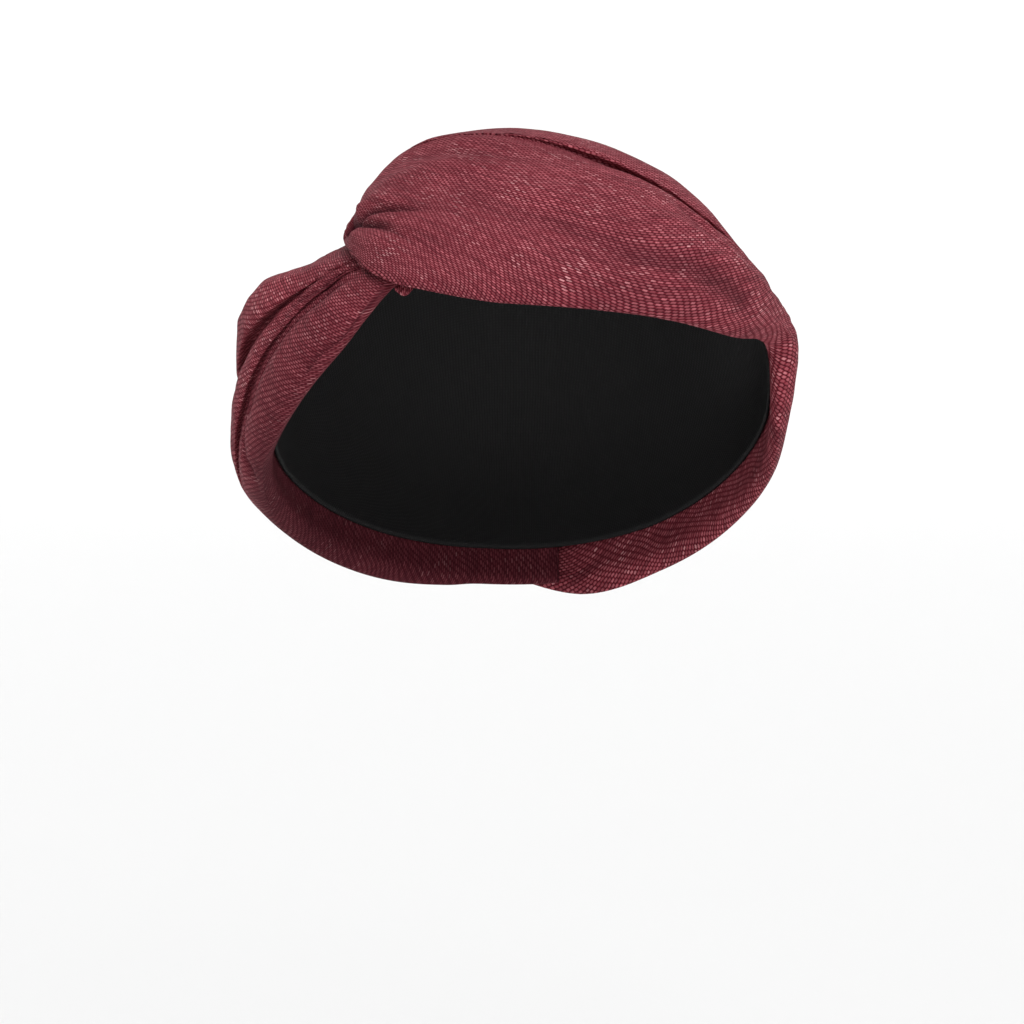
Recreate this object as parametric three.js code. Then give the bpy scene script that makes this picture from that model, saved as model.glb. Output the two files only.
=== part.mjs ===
// Turban headwrap: burgundy cloth folded over a black lining cap, with a gathered knot.
// Millimetres, +Z up. The forehead faces -Y and the wrap is tilted back as it is worn.
// The origin is the highest inside point of the lining, where it rests on a head.
//
// Every piece is laid on the head form in map coordinates: psi runs round the head in
// degrees, 0 at the forehead and positive towards +X; lam climbs in degrees from the
// level of the rim to the pole of the crown at 90; lift is the height above the head in mm.
import * as THREE from "three";

// Head form
const HEAD_WIDTH = 174;
const HEAD_LENGTH = 196;
const CROWN_HEIGHT = 86;
const WORN_TILT = 37;

// Walls and layers
const LINING_WALL = 1.2;
const CLOTH_WALL = 1.4;
const LAYER_GAP = 0.7;

// Edges
const HEM_DEPTH = 20;
const ROLL_DEPTH = 5;
const LINING_SETBACK = 12;
const TAIL_DROP = 6;
const TAIL_WIDTH = 9;

// How far each drape stands off the head where it is fullest
const FRONT_LOFT = 23.8;
const SIDE_LOFT = 23;
const CROWN_LOFT = 16;

// The wrap's corner on the +X side stands off the head: the height, where, and how wide
const FLARE_HEIGHT = 7.5;
const FLARE = { psi: 80, lam: 20, psiSpread: 28, lamSpread: 13 };

// Lifts of the stacked layers, worked out from the walls and the gap
const FIRST_LAYER = LINING_WALL + LAYER_GAP;
const CROWN_EDGE = FIRST_LAYER + CLOTH_WALL;
const SIDE_FLAT = FIRST_LAYER + 2 * CLOTH_WALL + LAYER_GAP;
const SECOND_LAYER = SIDE_FLAT + LAYER_GAP;
const HEM_PAIR = 2 * CLOTH_WALL + LAYER_GAP;

// Front drape, from the knot over the forehead and round the +X side to the nape.
// rim and rear: where the rolled edge and the tucked edge run.
// under: 0 on the lining, 1 over the side drape.  bulge: share of ROLL_DEPTH.
// lip, low, crest, valley, back: lifts as shares of the way from pressed flat to FRONT_LOFT.
// fold: share of the way across where the long upper fold lies.
const FRONT_COLUMNS = [
  "rimPsi", "rimLam", "rearPsi", "rearLam", "under", "bulge", "lip", "low", "crest", "fold", "valley", "back",
];
const FRONT_ROWS = [
  [-49, 34.5, -49.5, 37.5, 1, 0.1, 0, 0.02, 0.04, 0.7, 0.02, 0.02],
  [-45, 28, -50, 41, 1, 0.3, 0, 0.08, 0.12, 0.7, 0.1, 0.08],
  [-39, 20.5, -47.5, 47, 1, 0.4, 0, 0.18, 0.24, 0.7, 0.18, 0.14],
  [-32, 12.5, -42.5, 55, 1, 0.5, 0.02, 0.34, 0.58, 0.68, 0.58, 0.54],
  [-21, 4.8, -32, 64, 1, 0.5, 0.05, 0.48, 0.84, 0.62, 0.93, 0.93],
  [-4, 0.3, -4, 70, 0, 0.5, 0.08, 0.48, 0.86, 0.53, 1, 1],
  [16, 0, 26, 70, 0, 0.5, 0.08, 0.48, 0.79, 0.49, 0.7, 0.93],
  [37, 3, 54, 66, 0, 0.5, 0.1, 0.44, 0.6, 0.43, 0.49, 0.76],
  [53, 7, 73, 60, 0, 0.5, 0.14, 0.38, 0.46, 0.41, 0.38, 0.53],
  [66, 13, 90, 56, 0, 0.5, 0.24, 0.36, 0.32, 0.42, 0.3, 0.46],
  [73, 14, 98, 53, 0, 0.6, 0.34, 0.36, 0.34, 0.42, 0.32, 0.44],
  [78.5, 7, 107, 50, 0, 0.8, 0.23, 0.26, 0.32, 0.42, 0.3, 0.44],
  [89, 0.5, 118, 47, 0, 0.8, 0.1, 0.18, 0.34, 0.44, 0.33, 0.46],
  [118, -1, 138, 43, 0, 0.8, 0.15, 0.29, 0.46, 0.46, 0.42, 0.52],
  [144, -2.5, 156, 41, 0.1, 0.8, 0.28, 0.4, 0.48, 0.47, 0.42, 0.5],
  [166, -3, 173, 39, 1, 0.8, 0.26, 0.34, 0.38, 0.48, 0.32, 0.38],
  [187, 3, 188, 31, 1, 0.3, 0, 0.02, 0.02, 0.5, 0, 0.01],
];

// Side drape, from under the knot round the -X side to the nape, in three pleats.
// lowFold and highFold: shares of the way across where the two creases lie.
// lip, rimPleat, lowValley, midPleat, highValley, puff: lifts as shares of the way
// from pressed flat to SIDE_LOFT.
const SIDE_COLUMNS = [
  "rimPsi", "rimLam", "rearPsi", "rearLam", "bulge", "lowFold", "highFold",
  "lip", "rimPleat", "lowValley", "midPleat", "highValley", "puff",
];
const SIDE_ROWS = [
  [-25, 10.4, -42.5, 34, 0.2, 0.3, 0.42, 0, 0, 0, 0, 0, 0],
  [-29, 8.1, -51.5, 38, 0.3, 0.3, 0.41, 0, 0, 0, 0, 0, 0],
  [-34.5, 3, -56.5, 38, 0.3, 0.33, 0.43, 0.03, 0.17, 0.13, 0.21, 0.14, 0.18],
  [-41, -2, -63, 37, 0.4, 0.34, 0.45, 0.08, 0.27, 0.23, 0.33, 0.27, 0.4],
  [-50, -5.5, -71, 36, 0.5, 0.33, 0.46, 0.12, 0.33, 0.29, 0.42, 0.37, 0.84],
  [-60, -8, -79, 35, 0.6, 0.31, 0.49, 0.16, 0.35, 0.32, 0.53, 0.48, 0.95],
  [-70, -9, -87, 34, 0.8, 0.26, 0.51, 0.22, 0.37, 0.35, 0.61, 0.54, 0.84],
  [-80, -8.5, -97, 34, 1, 0.18, 0.51, 0.36, 0.44, 0.4, 0.64, 0.54, 0.74],
  [-92, -8, -110, 34, 1, 0.1, 0.5, 0.42, 0.46, 0.42, 0.64, 0.54, 0.68],
  [-115, -6, -132, 35, 1, 0.08, 0.48, 0.34, 0.4, 0.41, 0.62, 0.52, 0.64],
  [-145, -4.5, -155, 36, 0.9, 0.08, 0.46, 0.28, 0.34, 0.34, 0.54, 0.44, 0.54],
  [-162, -3.5, -169, 36, 0.6, 0.1, 0.45, 0.12, 0.16, 0.15, 0.26, 0.2, 0.26],
  [-171, -3, -176, 36, 0.4, 0.12, 0.45, 0, 0, 0, 0, 0, 0],
  [-190, -3, -190, 36, 0.3, 0.15, 0.45, 0, 0, 0, 0, 0, 0],
];

// Creases that run out from the knot into the front drape: the path from the knot, and
// the depth and half width as shares of FRONT_LOFT.
const KNOT_CREASES = [
  { path: [[-47, 39], [-36, 31.5], [-28, 26.4], [-17, 18]], depth: 0.2, width: 0.12 },
  { path: [[-44, 34], [-36, 28], [-30, 22.5], [-23, 14.7]], depth: 0.13, width: 0.1 },
];

// Gathers of the crown, spreading from the knot
const GATHER_CENTRE = [-46, 36];
const GATHER_COUNT = 9;
const GATHER_DEPTH = 0.12;

// The crown swells from pressed flat to CROWN_LOFT over this many degrees of lam,
// starting this far above the drapes' rear edges
const CROWN_SWELL = 24;
const CROWN_START = 2;

// The scrap's top edge, and how much narrower it grows downwards
const TAIL_TOP = [-23.8, 7.8];
const TAIL_TAPER = 0.3;
const TAIL_ROUNDING = 0.8;

// Where a drape's stops lie besides its table's folds: shares of the way across from rim
// to fold, from fold to fold, and from fold to rear edge
const HEM_LIMIT = 0.7;
const FRONT_STOPS = { low: 0.4, crest: 0.82, back: 0.25, tuck: 0.78, tuckFall: 0.45 };
const SIDE_STOPS = { rimPleat: 0.5, midPleat: 0.45, puff: 0.42, tuck: 0.74, tuckFall: 0.45 };

// How far a pleat leans over its crease, as a share of the step between them, and how far
// its steep face leans back
const CREASE_LEAN = 0.3;
const FACE_LEAN = 0.12;

// Mesh steps
const STEPS_PER_ROW = 3;
const ROUND_STEPS = 48;
const DOME_STEPS = 9;
const LEAST_RING = 0.5;
const ACROSS_STEPS = 8;
const TAIL_STEPS = { across: 6, down: 3 };

const RIM_MM_PER_DEGREE = THREE.MathUtils.degToRad(CROWN_HEIGHT);
const { clamp, degToRad, lerp, smoothstep } = THREE.MathUtils;

const radii = new THREE.Vector3(HEAD_WIDTH / 2, HEAD_LENGTH / 2, CROWN_HEIGHT);
const forward = new THREE.Vector3(0, -Math.cos(degToRad(WORN_TILT)), Math.sin(degToRad(WORN_TILT)));
const crownward = new THREE.Vector3(0, Math.sin(degToRad(WORN_TILT)), Math.cos(degToRad(WORN_TILT)));
const toWorld = new THREE.Matrix3().set(
  1, 0, 0,
  0, forward.y, crownward.y,
  0, forward.z, crownward.z,
);
const headCentre = highestPoint().negate();

// The head form's highest point in the world, seen from its centre
function highestPoint() {
  const pull = new THREE.Vector3(0, radii.y ** 2 * forward.z, radii.z ** 2 * crownward.z);
  const height = Math.hypot(radii.y * forward.z, radii.z * crownward.z);
  return pull.divideScalar(height).applyMatrix3(toWorld);
}

// The world point at map coordinates
function place(psi, lam, lift) {
  const round = degToRad(psi);
  const climb = degToRad(lam);
  const unit = new THREE.Vector3(
    Math.sin(round) * Math.cos(climb),
    Math.cos(round) * Math.cos(climb),
    Math.sin(climb),
  );
  const normal = unit.clone().divide(radii).normalize();
  const height = lift + flare(psi, lam);
  return unit.multiply(radii).addScaledVector(normal, height).applyMatrix3(toWorld).add(headCentre);
}

function flare(psi, lam) {
  const round = (psi - FLARE.psi) / FLARE.psiSpread;
  const climb = (lam - FLARE.lam) / FLARE.lamSpread;
  return FLARE_HEIGHT * Math.exp(-round * round - climb * climb);
}

// A table's rows as records with named columns
function namedRows(columns, rows) {
  return rows.map((row) => Object.fromEntries(columns.map((name, i) => [name, row[i]])));
}

// Rows between the table's own rows, each column on a smooth curve through them
function blendedRows(rows, steps) {
  const names = Object.keys(rows[0]);
  const last = rows.length - 1;
  const blended = [];
  for (let k = 0; k <= last * steps; k += 1) {
    const i = Math.min(Math.floor(k / steps), last - 1);
    const around = [rows[Math.max(i - 1, 0)], rows[i], rows[i + 1], rows[Math.min(i + 2, last)]];
    blended.push(Object.fromEntries(names.map((name) => [name, smooth(around, name, k / steps - i)])));
  }
  return blended;
}

function smooth([before, from, to, after], name, t) {
  const leave = (to[name] - before[name]) / 2;
  const arrive = (after[name] - from[name]) / 2;
  const drop = from[name] - to[name];
  const cubic = 2 * drop + leave + arrive;
  const square = -3 * drop - 2 * leave - arrive;
  return ((cubic * t + square) * t + leave) * t + from[name];
}

// Distance across a row, over the head from its rim to its rear edge
function acrossLength(row) {
  let length = 0;
  let previous = place(row.rimPsi, row.rimLam, 0);
  for (let i = 1; i <= ACROSS_STEPS; i += 1) {
    const share = i / ACROSS_STEPS;
    const next = place(lerp(row.rimPsi, row.rearPsi, share), lerp(row.rimLam, row.rearLam, share), 0);
    length += next.distanceTo(previous);
    previous = next;
  }
  return length;
}

// A drape's cross-section in map coordinates: a smooth curve through its stops, each of
// which says how far across it lies, its lift, and the steps to the next stop.
// The curve is drawn with the lifts in degrees too, so that it has one unit.
function crossSection(row, stops) {
  const points = stops.map(({ share, lift }) => new THREE.Vector3(
    lerp(row.rimPsi, row.rearPsi, share),
    lerp(row.rimLam, row.rearLam, share),
    lift / RIM_MM_PER_DEGREE,
  ));
  const curve = new THREE.CatmullRomCurve3(points, false, "centripetal");
  const spans = stops.length - 1;
  const section = [];
  for (let i = 0; i < spans; i += 1) {
    for (let k = 0; k < stops[i].steps; k += 1) {
      section.push(curve.getPoint((i + k / stops[i].steps) / spans));
    }
  }
  section.push(points[spans]);
  return section.map(({ x, y, z }) => new THREE.Vector3(x, y, z * RIM_MM_PER_DEGREE));
}

// The turned-in hem and the rolled rim, which start every drape's section
function hemShare(length) {
  return Math.min(HEM_DEPTH / length, HEM_LIMIT);
}

function hemStops(row, seat, lip, length) {
  const hem = hemShare(length);
  const roll = (ROLL_DEPTH * row.bulge) / length;
  return [
    { share: hem, lift: seat, steps: 1 },
    { share: hem * 0.5, lift: seat, steps: 1 },
    { share: 0, lift: seat, steps: 2 },
    { share: -roll, lift: (seat + lip) / 2, steps: 2 },
  ];
}

// A crease: the cloth dips into it and the next pleat leans over it
function creaseStops(share, valley, next, length) {
  const step = (next - valley) / length;
  return [
    { share: share + step * CREASE_LEAN, lift: valley, steps: 1 },
    { share: share - step * FACE_LEAN, lift: (valley + next) / 2, steps: 1 },
  ];
}

function frontSection(row) {
  const length = acrossLength(row);
  const under = clamp(row.under, 0, 1);
  const seat = lerp(FIRST_LAYER, SECOND_LAYER, under);
  const flat = seat + HEM_PAIR;
  const raise = (share) => flat + Math.max(share, 0) * (FRONT_LOFT - flat);
  const rear = lerp(SIDE_FLAT, SECOND_LAYER + CLOTH_WALL, under);
  const tuck = lerp(row.fold, 1, FRONT_STOPS.tuck);
  return crossSection(row, [
    ...hemStops(row, seat, raise(row.lip), length),
    { share: 0, lift: raise(row.lip), steps: 3 },
    { share: row.fold * FRONT_STOPS.low, lift: raise(row.low), steps: 4 },
    { share: row.fold * FRONT_STOPS.crest, lift: raise(row.crest), steps: 1 },
    ...creaseStops(row.fold, raise(row.valley), raise(row.back), length),
    { share: lerp(row.fold, 1, FRONT_STOPS.back), lift: raise(row.back), steps: 2 },
    { share: tuck, lift: lerp(raise(row.back), rear, FRONT_STOPS.tuckFall), steps: 1 },
    { share: 1, lift: rear, steps: 1 },
  ]);
}

function sideSection(row) {
  const length = acrossLength(row);
  const raise = (share) => SIDE_FLAT + Math.max(share, 0) * (SIDE_LOFT - SIDE_FLAT);
  const middle = lerp(row.lowFold, row.highFold, SIDE_STOPS.midPleat);
  const tuck = lerp(row.highFold, 1, SIDE_STOPS.tuck);
  return crossSection(row, [
    ...hemStops(row, FIRST_LAYER, raise(row.lip), length),
    { share: 0, lift: raise(row.lip), steps: 1 },
    { share: row.lowFold * SIDE_STOPS.rimPleat, lift: raise(row.rimPleat), steps: 2 },
    ...creaseStops(row.lowFold, raise(row.lowValley), raise(row.midPleat), length),
    { share: middle, lift: raise(row.midPleat), steps: 2 },
    ...creaseStops(row.highFold, raise(row.highValley), raise(row.puff), length),
    { share: lerp(row.highFold, 1, SIDE_STOPS.puff), lift: raise(row.puff), steps: 2 },
    { share: tuck, lift: lerp(raise(row.puff), SIDE_FLAT, SIDE_STOPS.tuckFall), steps: 1 },
    { share: 1, lift: SIDE_FLAT, steps: 1 },
  ]);
}

// How deep the knot's creases press the front drape in at a map point
function creaseDepth(psi, lam) {
  let depth = 0;
  for (const crease of KNOT_CREASES) {
    const spans = crease.path.length - 1;
    let nearest = Infinity;
    let along = 0;
    for (let i = 0; i < spans; i += 1) {
      const from = new THREE.Vector2(...crease.path[i]);
      const run = new THREE.Vector2(...crease.path[i + 1]).sub(from);
      const offset = new THREE.Vector2(psi, lam).sub(from);
      const share = clamp(offset.dot(run) / run.lengthSq(), 0, 1);
      const distance = offset.addScaledVector(run, -share).length() * RIM_MM_PER_DEGREE;
      if (distance < nearest) {
        nearest = distance;
        along = (i + share) / spans;
      }
    }
    const notch = Math.exp(-nearest / (crease.width * FRONT_LOFT));
    depth += crease.depth * FRONT_LOFT * (1 - along) * notch;
  }
  return depth;
}

// Outer points of a drape, column by column along it
function drapeColumns(rows, sectionOf, press = () => 0) {
  return rows.map((row) => {
    const section = sectionOf(row);
    const folded = section.findIndex((point) => point.z > section[0].z + CLOTH_WALL);
    const flat = section[0].z + HEM_PAIR;
    return section.map((point, i) => {
      const depth = i > folded ? press(point.x, point.y) : 0;
      return place(point.x, point.y, Math.max(point.z - depth, Math.min(point.z, flat)));
    });
  });
}

// The same cloth one wall further in, by the grid's own normals
function innerColumns(columns, wall) {
  const lastColumn = columns.length - 1;
  const lastRow = columns[0].length - 1;
  return columns.map((column, i) => column.map((point, j) => {
    const along = new THREE.Vector3().subVectors(
      columns[Math.min(i + 1, lastColumn)][j],
      columns[Math.max(i - 1, 0)][j],
    );
    const across = new THREE.Vector3().subVectors(
      column[Math.min(j + 1, lastRow)],
      column[Math.max(j - 1, 0)],
    );
    const inward = across.cross(along).normalize();
    return point.clone().addScaledVector(inward, wall);
  }));
}

// A closed geometry from points and the quads and triangles between them
class ClosedSkin {
  constructor() {
    this.positions = [];
    this.indices = [];
  }

  add(point) {
    this.positions.push(point.x, point.y, point.z);
    return this.positions.length / 3 - 1;
  }

  quad(a, b, c, d) {
    this.indices.push(a, b, c, a, c, d);
  }

  triangle(a, b, c) {
    this.indices.push(a, b, c);
  }

  geometry() {
    const geometry = new THREE.BufferGeometry();
    geometry.setAttribute("position", new THREE.Float32BufferAttribute(this.positions, 3));
    geometry.setIndex(this.indices);
    geometry.computeVertexNormals();
    return geometry;
  }
}

// A strip of cloth with four edges
function stripGeometry(outerPoints, innerPoints) {
  const skin = new ClosedSkin();
  const outer = outerPoints.map((column) => column.map((point) => skin.add(point)));
  const inner = innerPoints.map((column) => column.map((point) => skin.add(point)));
  const lastColumn = outer.length - 1;
  const lastRow = outer[0].length - 1;
  for (let i = 0; i < lastColumn; i += 1) {
    for (let j = 0; j < lastRow; j += 1) {
      skin.quad(outer[i][j], outer[i + 1][j], outer[i + 1][j + 1], outer[i][j + 1]);
      skin.quad(inner[i][j], inner[i][j + 1], inner[i + 1][j + 1], inner[i + 1][j]);
    }
    skin.quad(inner[i][0], inner[i + 1][0], outer[i + 1][0], outer[i][0]);
    skin.quad(outer[i][lastRow], outer[i + 1][lastRow], inner[i + 1][lastRow], inner[i][lastRow]);
  }
  for (let j = 0; j < lastRow; j += 1) {
    skin.quad(outer[0][j], outer[0][j + 1], inner[0][j + 1], inner[0][j]);
    skin.quad(inner[lastColumn][j], inner[lastColumn][j + 1], outer[lastColumn][j + 1], outer[lastColumn][j]);
  }
  return skin.geometry();
}

// A dome of cloth from a lower edge to the pole. All domes share the same steps above the
// lining's edge, so that layers lie parallel.
function domeGeometry(lowerEdge, outerLift, wall) {
  const skin = new ClosedSkin();
  const lamAt = (psi, step) => {
    const edge = lowerEdge(psi);
    const shared = lerp(liningEdge(psi), 90, step / DOME_STEPS);
    return step === 0 ? edge : Math.max(shared, edge + step * LEAST_RING);
  };
  const ring = (offset, step) => Array.from({ length: ROUND_STEPS }, (_, i) => {
    const psi = (360 * i) / ROUND_STEPS - 180;
    const lam = lamAt(psi, step);
    return skin.add(place(psi, lam, outerLift(psi, lam) - offset));
  });
  const outer = Array.from({ length: DOME_STEPS }, (_, j) => ring(0, j));
  const inner = Array.from({ length: DOME_STEPS }, (_, j) => ring(wall, j));
  const outerPole = skin.add(place(0, 90, outerLift(0, 90)));
  const innerPole = skin.add(place(0, 90, outerLift(0, 90) - wall));
  const last = outer.length - 1;
  for (let i = 0; i < outer[0].length; i += 1) {
    const next = (i + 1) % outer[0].length;
    for (let j = 0; j < last; j += 1) {
      skin.quad(outer[j][i], outer[j][next], outer[j + 1][next], outer[j + 1][i]);
      skin.quad(inner[j][i], inner[j + 1][i], inner[j + 1][next], inner[j][next]);
    }
    skin.triangle(outer[last][i], outer[last][next], outerPole);
    skin.triangle(inner[last][next], inner[last][i], innerPole);
    skin.quad(inner[0][i], inner[0][next], outer[0][next], outer[0][i]);
  }
  return skin.geometry();
}

// The lam of a line that runs round the whole head, from points in order of psi
function roundLine(points) {
  const sorted = [...points].sort((a, b) => a[0] - b[0]);
  const first = sorted[0];
  const final = sorted[sorted.length - 1];
  const closed = [[final[0] - 360, final[1]], ...sorted, [first[0] + 360, first[1]]];
  return (psi) => {
    const i = closed.findIndex((point) => point[0] >= psi);
    const share = (psi - closed[i - 1][0]) / (closed[i][0] - closed[i - 1][0]);
    return lerp(closed[i - 1][1], closed[i][1], share);
  };
}

const frontTable = namedRows(FRONT_COLUMNS, FRONT_ROWS);
const sideTable = namedRows(SIDE_COLUMNS, SIDE_ROWS);
const frontRows = blendedRows(frontTable, STEPS_PER_ROW);
const sideRows = blendedRows(sideTable, STEPS_PER_ROW);

// The wrap's whole lower rim, the tops of the hems inside it, and the rear edges that the
// crown shows between
const rimLine = roundLine([
  ...frontTable.filter((row) => row.under < 1),
  ...sideTable.slice(1).filter((row) => row.rimPsi > -180),
].map((row) => [row.rimPsi, row.rimLam]));
const hemLine = roundLine([
  ...frontRows.filter((row) => row.under < 1),
  ...sideRows.filter((row) => row.rimPsi > -180),
].map((row) => {
  const share = hemShare(acrossLength(row));
  return [lerp(row.rimPsi, row.rearPsi, share), lerp(row.rimLam, row.rearLam, share)];
}));
const rearLine = roundLine([
  ...frontTable.filter((row) => row.rearPsi > -40 && row.rearPsi < 180),
  ...sideTable.filter((row) => row.rearPsi < -50 && row.rearPsi > -180),
].map((row) => [row.rearPsi, row.rearLam]));

function liningEdge(psi) {
  return rimLine(psi) + LINING_SETBACK / RIM_MM_PER_DEGREE;
}

function liningGeometry() {
  return domeGeometry(liningEdge, () => LINING_WALL, LINING_WALL);
}

function crownGeometry() {
  const edge = (psi) => hemLine(psi) + 3 * CLOTH_WALL / RIM_MM_PER_DEGREE;
  const flatPoint = (psi, lam) => new THREE.Vector2(
    Math.sin(degToRad(psi)) * Math.cos(degToRad(lam)),
    Math.cos(degToRad(psi)) * Math.cos(degToRad(lam)),
  );
  const knot = flatPoint(...GATHER_CENTRE);
  const rise = CROWN_LOFT - CROWN_EDGE;
  const lift = (psi, lam) => {
    const start = rearLine(psi) + CROWN_START;
    const open = smoothstep(lam, start, Math.min(start + CROWN_SWELL, 90));
    const away = flatPoint(psi, lam).sub(knot);
    const gather = Math.cos(away.angle() * GATHER_COUNT) * GATHER_DEPTH * Math.min(away.length(), 1);
    return CROWN_EDGE + rise * open * (1 - GATHER_DEPTH + gather);
  };
  return domeGeometry(edge, lift, CLOTH_WALL);
}

function frontGeometry() {
  const outer = drapeColumns(frontRows, frontSection, creaseDepth);
  return stripGeometry(outer, innerColumns(outer, CLOTH_WALL));
}

function sideGeometry() {
  const outer = drapeColumns(sideRows, sideSection).reverse();
  return stripGeometry(outer, innerColumns(outer, CLOTH_WALL));
}

// The scrap of turned cloth that peeps out under the front drape beside the knot
function tailGeometry() {
  const [topPsi, topLam] = TAIL_TOP;
  const halfWidth = TAIL_WIDTH / 2 / RIM_MM_PER_DEGREE;
  const drop = TAIL_DROP / RIM_MM_PER_DEGREE;
  const outer = Array.from({ length: TAIL_STEPS.across + 1 }, (_, i) => {
    const side = (2 * i) / TAIL_STEPS.across - 1;
    const reach = drop * Math.sqrt(1 - TAIL_ROUNDING * side * side);
    return Array.from({ length: TAIL_STEPS.down + 1 }, (_, j) => {
      const down = 1 - j / TAIL_STEPS.down;
      return place(topPsi + side * halfWidth * (1 - TAIL_TAPER * down), topLam - reach * down, SIDE_FLAT);
    });
  });
  return stripGeometry(outer, innerColumns(outer, CLOTH_WALL));
}

const burgundy = { color: 0x8a3e46, roughness: 0.62, metalness: 0 };
const black = { color: 0x101012, roughness: 0.8, metalness: 0 };

function piece(name, geometry, finish) {
  const mesh = new THREE.Mesh(geometry, new THREE.MeshStandardMaterial(finish));
  mesh.name = name;
  return mesh;
}

const headwrap = new THREE.Group();
headwrap.add(
  piece("lining_cap", liningGeometry(), black),
  piece("crown_drape", crownGeometry(), burgundy),
  piece("side_drape", sideGeometry(), burgundy),
  piece("front_drape", frontGeometry(), burgundy),
  piece("knot_tail", tailGeometry(), burgundy),
);

export default headwrap;
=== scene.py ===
"""Turban headwrap: burgundy cloth folded over a black lining cap, with a gathered knot.

The wrap is laid on a head form in map coordinates: psi runs round the head in degrees, 0 at
the forehead and positive towards +X; lam climbs in degrees from the level of the rim to the
pole of the crown at 90; lift is the height above the head. The shapes' lengths are in
millimetres until closed_mesh() turns them into metres. The cloth maps, the materials and
the studio are in metres.
"""
import math

import bpy
import numpy as np
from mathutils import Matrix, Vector


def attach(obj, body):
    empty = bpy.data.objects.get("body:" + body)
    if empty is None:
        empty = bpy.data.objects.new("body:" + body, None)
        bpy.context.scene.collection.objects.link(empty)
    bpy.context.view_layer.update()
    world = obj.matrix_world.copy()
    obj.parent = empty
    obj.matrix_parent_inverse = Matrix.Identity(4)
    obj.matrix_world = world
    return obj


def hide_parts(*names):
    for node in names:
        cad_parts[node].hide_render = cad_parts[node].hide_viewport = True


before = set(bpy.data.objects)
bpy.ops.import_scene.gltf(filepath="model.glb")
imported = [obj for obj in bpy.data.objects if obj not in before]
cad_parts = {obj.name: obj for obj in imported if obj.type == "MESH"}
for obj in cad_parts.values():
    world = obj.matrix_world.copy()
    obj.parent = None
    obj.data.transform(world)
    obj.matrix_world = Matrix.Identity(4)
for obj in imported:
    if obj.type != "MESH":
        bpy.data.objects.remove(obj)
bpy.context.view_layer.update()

MM = 0.001

# Head form
HEAD_WIDTH = 174
HEAD_LENGTH = 196
CROWN_HEIGHT = 86
WORN_TILT = 37

# Walls and layers
LINING_WALL = 1.2
CLOTH_WALL = 1.4
LAYER_GAP = 0.7

# The wall that the scene's drapes have
SHOWN_WALL = 0.9

# Edges
HEM_DEPTH = 20
ROLL_DEPTH = 5
LINING_SETBACK = 12
TAIL_DROP = 6
TAIL_WIDTH = 9

# How far each drape stands off the head where it is fullest
FRONT_LOFT = 23.8
SIDE_LOFT = 23
CROWN_LOFT = 16

# The wrap's corner on the +X side stands off the head: the height, where, and how wide
FLARE_HEIGHT = 7.5
FLARE = {"psi": 80, "lam": 20, "psi_spread": 28, "lam_spread": 13}

# Lifts of the stacked layers
FIRST_LAYER = LINING_WALL + LAYER_GAP
CROWN_EDGE = FIRST_LAYER + CLOTH_WALL
SIDE_FLAT = FIRST_LAYER + 2 * CLOTH_WALL + LAYER_GAP
SECOND_LAYER = SIDE_FLAT + LAYER_GAP
HEM_PAIR = 2 * CLOTH_WALL + LAYER_GAP

# Front drape, from the knot over the forehead and round the +X side to the nape.
# rim and rear: where the rolled edge and the tucked edge run.
# under: 0 on the lining, 1 over the side drape.  bulge: share of ROLL_DEPTH.
# lip, low, crest, valley, back: lifts as shares of the way from pressed flat to FRONT_LOFT.
# fold: share of the way across where the long upper fold lies.
FRONT_COLUMNS = (
    "rim_psi", "rim_lam", "rear_psi", "rear_lam", "under", "bulge",
    "lip", "low", "crest", "fold", "valley", "back",
)
FRONT_ROWS = (
    (-49, 34.5, -49.5, 37.5, 1, 0.1, 0, 0.02, 0.04, 0.7, 0.02, 0.02),
    (-45, 28, -50, 41, 1, 0.3, 0, 0.08, 0.12, 0.7, 0.1, 0.08),
    (-39, 20.5, -47.5, 47, 1, 0.4, 0, 0.18, 0.24, 0.7, 0.18, 0.14),
    (-32, 12.5, -42.5, 55, 1, 0.5, 0.02, 0.34, 0.58, 0.68, 0.58, 0.54),
    (-21, 4.8, -32, 64, 1, 0.5, 0.05, 0.48, 0.84, 0.62, 0.93, 0.93),
    (-4, 0.3, -4, 70, 0, 0.5, 0.08, 0.48, 0.86, 0.53, 1, 1),
    (16, 0, 26, 70, 0, 0.5, 0.08, 0.48, 0.79, 0.49, 0.7, 0.93),
    (37, 3, 54, 66, 0, 0.5, 0.1, 0.44, 0.6, 0.43, 0.49, 0.76),
    (53, 7, 73, 60, 0, 0.5, 0.14, 0.38, 0.46, 0.41, 0.38, 0.53),
    (66, 13, 90, 56, 0, 0.5, 0.24, 0.36, 0.32, 0.42, 0.3, 0.46),
    (73, 14, 98, 53, 0, 0.6, 0.34, 0.36, 0.34, 0.42, 0.32, 0.44),
    (78.5, 7, 107, 50, 0, 0.8, 0.23, 0.26, 0.32, 0.42, 0.3, 0.44),
    (89, 0.5, 118, 47, 0, 0.8, 0.1, 0.18, 0.34, 0.44, 0.33, 0.46),
    (118, -1, 138, 43, 0, 0.8, 0.15, 0.29, 0.46, 0.46, 0.42, 0.52),
    (144, -2.5, 156, 41, 0.1, 0.8, 0.28, 0.4, 0.48, 0.47, 0.42, 0.5),
    (166, -3, 173, 39, 1, 0.8, 0.26, 0.34, 0.38, 0.48, 0.32, 0.38),
    (187, 3, 188, 31, 1, 0.3, 0, 0.02, 0.02, 0.5, 0, 0.01),
)

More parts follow.
